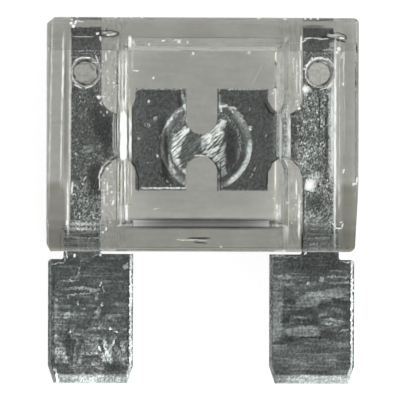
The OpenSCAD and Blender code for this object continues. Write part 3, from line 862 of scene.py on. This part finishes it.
def front_glass(g, from_stake):
    """The front, which carries all the marks of the plastic and its painted highlights and shade."""
    place = g.wavy(0.9, 0.06)
    jagged = g.noise(g.mm, 3.4)
    bend = g.step(g.noise(g.mm, 1.8, detail=3.0), 0.3, 0.7, low=-0.07, high=0.07)
    from_disc = g.math("ADD", from_stake, bend)
    shade = front_shade(g, place, from_stake, from_disc, jagged)
    share = g.math("MULTIPLY", shade, shade)
    clear = g.vector("SCALE", squared(FRONT_CLEAR), scale=share)

    off_web = g.rest(g.within(g.y, WEB_Y))
    frost_and_glint = front_frost_and_glints(g, place, from_disc, jagged, off_web)
    yellow = g.step(g.noise(g.stretched(90, 3.0, 0.8), 1.0), 0.42, 0.66)
    yellow = g.product(yellow, off_web, g.step(g.side, *YELLOW_END_X))
    # White shader for the painted highlights and glints, and for the rough spots
    rough = frost_and_glint_plastic(g, g.blend(yellow, FROST_AND_GLINT, YELLOW_FROST_AND_GLINT))
    return mix(g, frost_and_glint, glass(g, clear, g.math("MULTIPLY", share, FULL_GLOSS)), rough)


def clear_plastic():
    """The plastic, whose looks depend on the place of a face: inside, at the front, the back or a side."""
    g = Graph("clear_plastic")
    height = g.math("SUBTRACT", g.z, MID_Z)
    from_stake = g.length(g.math("SUBTRACT", g.side, STAKE.x), g.math("SUBTRACT", g.y, STAKE.y))
    sunk = g.step(from_stake, DIMPLE_R, DIMPLE_R - SHARP, high=INNER_Z - DIMPLE_INNER_Z)
    front = g.step(g.math("ADD", height, sunk), INNER_Z, INNER_Z + SHARP)
    back = g.step(g.math("SUBTRACT", height, sunk), -INNER_Z, -INNER_Z - SHARP)
    around = g.greatest(
        g.step(g.side, SIDE_X, SIDE_X + SHARP),
        g.step(g.y, TOP_Y, TOP_Y + SHARP),
        g.step(g.y, FOOT_Y, FOOT_Y - SHARP),
    )
    around = g.math("MULTIPLY", around, g.rest(back))
    outside = g.math("MAXIMUM", back, around)
    hidden = mix(g, outside, glass(g, (1, 1, 1)), back_glass(g, around))
    surface = mix(g, front, hidden, front_glass(g, from_stake))
    g.node("ShaderNodeOutputMaterial", {"Surface": surface})
    return g.material


def metal(g, light, shade, dull, bevel, edge):
    """Tinned metal that looks dark where it lies flat and bright where its surface turns to the light;
    there the light share also paints a brighter colour as a painted highlight, and the shade share paints
    shade.
    """
    light = g.math("MINIMUM", light, 1.0)
    tilt = g.vector("SCALE", TO_LIGHT, scale=g.math("POWER", light, 0.7))
    cool = g.step(g.noise(g.mm, 0.9), 0.4, 0.65)
    # The colour, with a painted highlight where the light share is high and painted shade where the shade
    # share is low
    tone = g.vector("SCALE", g.blend(light, dull, g.blend(cool, METAL_BRIGHT, METAL_COOL)), scale=shade)
    grain = g.noise(g.stretched(70, 1.2, 1.0), 5.0)
    # Painted shade on the rounded edges, with a random grain
    rim = g.blend(g.step(edge, 0.12, 0.3), (1, 1, 1), METAL_RIM)
    rim = g.vector("SCALE", rim, scale=g.step(grain, 0.35, 0.65, low=0.7, high=1.25))
    shader = g.node("ShaderNodeBsdfPrincipled", {
        "Base Color": g.vector("MULTIPLY", tone, rim),
        "Metallic": 1.0,
        "Roughness": g.step(light, 0.0, 1.0, DULL_ROUGHNESS, BRIGHT_ROUGHNESS),
        "Normal": g.vector("NORMALIZE", g.vector("ADD", bevel, tilt)),
    })
    return shader.outputs[0]


def terminal_light(g, grain):
    """The speckles of the terminals, painted as sparkles of highlight, denser low down and on the right
    one, and the painted light streaks on the necks.
    """
    speck = g.specks(g.stretched(75, 1.5, 1.0), 5.4, share=0.6)
    patch = g.step(g.noise(g.mm, 0.55, detail=3.0), 0.35, 0.65, low=0.6, high=1.35)
    terminal = g.math("MULTIPLY", g.step(g.side, 8.1, 8.6), g.within(g.y, TERMINAL_Y))
    low_down = g.step(g.y, 2.6, 0.8, high=0.19)
    right = g.product(g.step(g.x, 8.4, 9.6, high=0.28), g.step(g.y, 0.8, 2.6, low=0.1),
                      g.step(g.y, 11.0, 9.5, low=0.4))
    dense = g.math("ADD", g.math("ADD", low_down, right), 0.17)
    fine = g.math("ADD", g.step(grain, 0.4, 0.64, low=0.04, high=0.6), g.math("MULTIPLY", speck, 1.5))
    light = g.product(terminal, dense, patch, fine)
    neck = g.step(g.noise(g.stretched(0, 4.0, 0.3), 1.3, detail=3.0), 0.35, 0.65, low=0.01, high=0.14)
    below = g.step(g.y, TERMINAL_Y[1], TERMINAL_Y[0])
    return g.math("MAXIMUM", light, g.math("MULTIPLY", neck, below))


def plate_light(g):
    """The faint level lines of the middle plates, and the painted sheen at the edge of the left one."""
    fine_lines = g.step(g.noise(g.stretched(0, 5.0, 0.22), 1.4, detail=3.0), 0.35, 0.65, high=0.022)
    sheen = g.math("MULTIPLY", g.within(g.x, SHEEN), 0.055)
    return g.math("MULTIPLY", g.step(g.side, *PLATE_END_X), g.math("ADD", fine_lines, sheen))


def rim_light(g, away, turn, start, full, strength):
    """A smooth painted crescent of highlight on the rim of the dish, with its middle at this turn."""
    along = g.math("ADD", g.math("MULTIPLY", g.math("SUBTRACT", g.x, DISH.x), math.cos(turn)),
                   g.math("MULTIPLY", g.math("SUBTRACT", g.y, DISH.y), math.sin(turn)))
    toward = g.math("DIVIDE", along, g.math("MAXIMUM", away, 0.1))
    return g.product(g.step(away, start, full), g.step(away, DISH_R + 0.1, DISH_R - 0.1),
                     g.step(toward, *CRESCENT_COSINES, high=strength))


def dish_light(g, place, grain):
    """The tool marks in the floor of the dish with painted highlights where they face the light, the thin
    painted bright ring round it, and the painted crescents of highlight on its rim.
    """
    away = g.length(g.math("SUBTRACT", g.x, DISH.x), g.math("SUBTRACT", g.y, DISH.y))
    stroke = g.step(g.noise(g.stretched(BRUSH_TURN, 1.3, 0.14), 1.5, detail=1.0), 0.41, 0.58)
    facing = g.raised(0.0, place, DISH_LIGHT, soft=0.6)
    facing = g.math("MULTIPLY", facing, g.math("MULTIPLY_ADD", stroke, 1.05, 0.07))
    stroked = g.math("ADD", facing, g.math("MULTIPLY", stroke, 0.1))
    disc = g.math("MULTIPLY", g.step(away, 3.5, 3.1), stroked)
    crescent = rim_light(g, away, CRESCENT_TURN, 3.65, 4.1, 1.0)
    upper = rim_light(g, away, UPPER_TURN, 3.3, 4.0, 0.3)
    ring = g.math("MULTIPLY", g.within(away, DISH_RING), g.step(grain, 0.45, 0.6, low=0.04, high=0.26))
    return g.greatest(disc, crescent, upper, ring)


def inner_metal(g, grain, bevel, edge):
    """The terminals, the link and the dish, which lie behind the plastic."""
    place = g.wavy(1.6, 0.1)
    light = g.math("MAXIMUM", terminal_light(g, grain), plate_light(g))
    ragged = g.step(g.noise(g.stretched(60, 1.4, 0.8), 5.6, detail=3.0), 0.4, 0.58, low=0.16)
    # Painted highlights and glints, with some rubbed marks
    marks = g.math("MULTIPLY", g.raised(0.0, place, METAL_LIGHT), ragged)
    light = g.greatest(light, marks, dish_light(g, place, grain))
    # Painted shade
    shade = g.shaded(1.0, place, METAL_DARK)
    return metal(g, g.math("MULTIPLY", light, shade), shade, METAL_DULL, bevel, edge)


def blade_metal(g, grain, bevel, edge):
    """The blades, which are rubbed by their receptacles and bright at their tips, with painted highlights
    and shade.
    """
    smear = g.step(g.noise(g.stretched(0, 3.0, 0.35), 1.6, detail=3.0), 0.44, 0.75, high=0.13)
    fine = g.step(grain, 0.4, 0.7, high=0.045)
    cloud = g.step(g.noise(g.mm, 0.7, detail=4.0), 0.4, 0.66)
    scuff = g.math("MULTIPLY", cloud, g.math("ADD", g.step(grain, 0.4, 0.62, high=0.13), 0.03))
    lower_left = g.product(g.step(g.y, -8.5, -13.0), g.step(g.x, 0.5, -0.5))
    light = g.math("ADD", g.math("ADD", smear, fine), g.math("MULTIPLY", scuff, lower_left))
    least = g.step(g.x, -0.5, 0.5, low=0.5, high=0.8)
    ragged = g.step(grain, 0.36, 0.6, low=least)
    # Painted highlights on the edges, shoulders, necks and tips, and rubbed marks
    marks = g.raised(0.0, g.wavy(3.2, 0.26), BLADE_LIGHT, soft=0.4)
    light = g.math("ADD", light, g.product(marks, ragged, 0.75))
    # Painted shade along the edges and below the housing, and other dark marks
    shade = g.shaded(1.0, g.wavy(2.6, 0.3), BLADE_DARK, soft=0.45)
    fade = g.step(g.noise(g.mm, 0.4, detail=3.0), 0.3, 0.7, low=0.86, high=1.1)
    shade = g.math("MULTIPLY", shade, fade)
    return metal(g, g.math("MULTIPLY", light, shade), shade, BLADE_DULL, bevel, edge)


def tinned_metal():
    """The metal of the fuse element, inside the housing and below it."""
    g = Graph("tinned_metal")
    bevel = g.node("ShaderNodeBevel", {"Radius": EDGE_R * MM}, samples=6).outputs[0]
    flat = g.node("ShaderNodeNewGeometry").outputs["True Normal"]
    likeness = g.node("ShaderNodeVectorMath", {0: bevel, 1: flat}, operation="DOT_PRODUCT").outputs["Value"]
    edge = g.rest(likeness)
    grain = g.noise(g.stretched(70, 1.5, 0.9), 7.4)
    free = g.step(g.y, housing_low.y, housing_low.y - SHARP)
    surface = mix(g, free, inner_metal(g, grain, bevel, edge), blade_metal(g, grain, bevel, edge))
    g.node("ShaderNodeOutputMaterial", {"Surface": surface})
    return g.material


def studio_world():
    """A pale sky that darkens overhead, with more light from the right than from the left."""
    pale_angle = math.radians(60)
    dark_angle = math.radians(12)
    pale_strength = 2.4
    dark_strength = 0.2
    left_share = 0.25
    world = bpy.data.worlds.new("studio")
    bpy.context.scene.world = world
    world.use_nodes = True
    tree = world.node_tree
    direction = tree.nodes.new("ShaderNodeTexCoord").outputs["Generated"]
    split = tree.nodes.new("ShaderNodeSeparateXYZ")
    tree.links.new(direction, split.inputs[0])

    def fade(axis, start, end, low, high):
        made = tree.nodes.new("ShaderNodeMapRange")
        for name, value in zip(("From Min", "From Max", "To Min", "To Max"), (start, end, low, high)):
            made.inputs[name].default_value = value
        tree.links.new(split.outputs[axis], made.inputs["Value"])
        return made.outputs["Result"]

    both = tree.nodes.new("ShaderNodeMath")
    both.operation = "MULTIPLY"
    height = fade("Z", math.cos(pale_angle), math.cos(dark_angle), pale_strength, dark_strength)
    tree.links.new(height, both.inputs[0])
    tree.links.new(fade("X", -0.8, 0.4, left_share, 1.0), both.inputs[1])
    tree.links.new(both.outputs[0], tree.nodes["Background"].inputs["Strength"])
    tree.nodes["Background"].inputs["Color"].default_value = WHITE


def stage_floor():
    """A white floor just under the fuse. It glows for what looks at it, and its paint takes the shadow."""
    half = 1.0
    gap = 0.0001
    glow_strength = 0.86
    paint_colour = (0.3, 0.3, 0.3)
    mesh = bpy.data.meshes.new("floor")
    corners = [(-half, -half), (half, -half), (half, half), (-half, half)]
    mesh.from_pydata([(x, y, cad_box[0].z - gap) for x, y in corners], [], [(0, 1, 2, 3)])
    floor = bpy.data.objects.new("floor", mesh)
    bpy.context.scene.collection.objects.link(floor)
    g = Graph("floor_white")
    path = g.node("ShaderNodeLightPath").outputs
    seen = g.greatest(path["Is Camera Ray"], path["Is Glossy Ray"], path["Is Transmission Ray"])
    strength = g.math("MULTIPLY", seen, glow_strength)
    glow = g.node("ShaderNodeEmission", {"Color": WHITE, "Strength": strength})
    paint = g.node("ShaderNodeBsdfDiffuse", {"Color": colour(paint_colour)})
    both = g.node("ShaderNodeAddShader", {0: glow.outputs[0], 1: paint.outputs[0]})
    g.node("ShaderNodeOutputMaterial", {"Surface": both.outputs[0]})
    mesh.materials.append(g.material)


def photo_camera():
    """Looks straight down on the fuse from its front, from a little to the left and turned a little."""
    distance = 0.6
    view_width = 0.03735
    centre = Vector((-0.00024, 0.00008, housing_high.z * MM))
    yaw = math.radians(1.4)
    roll = math.radians(0.2)
    data = bpy.data.cameras.new("camera")
    data.sensor_width = 36.0
    data.lens = data.sensor_width * distance / view_width
    data.clip_start = distance / 10
    data.clip_end = distance * 10
    camera = bpy.data.objects.new("camera", data)
    bpy.context.scene.collection.objects.link(camera)
    turn = Matrix.Rotation(-yaw, 4, "Y") @ Matrix.Rotation(roll, 4, "Z")
    camera.matrix_world = Matrix.Translation(centre) @ turn @ Matrix.Translation((0, 0, distance))
    bpy.context.scene.camera = camera


def dress(node, material):
    """Gives a piece this material and no other."""
    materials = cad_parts[node].data.materials
    materials.clear()
    materials.append(material)


dress("housing", clear_plastic())
dress("fuse_element", tinned_metal())
studio_world()
stage_floor()
photo_camera()
bpy.context.scene.view_settings.view_transform = "Standard"
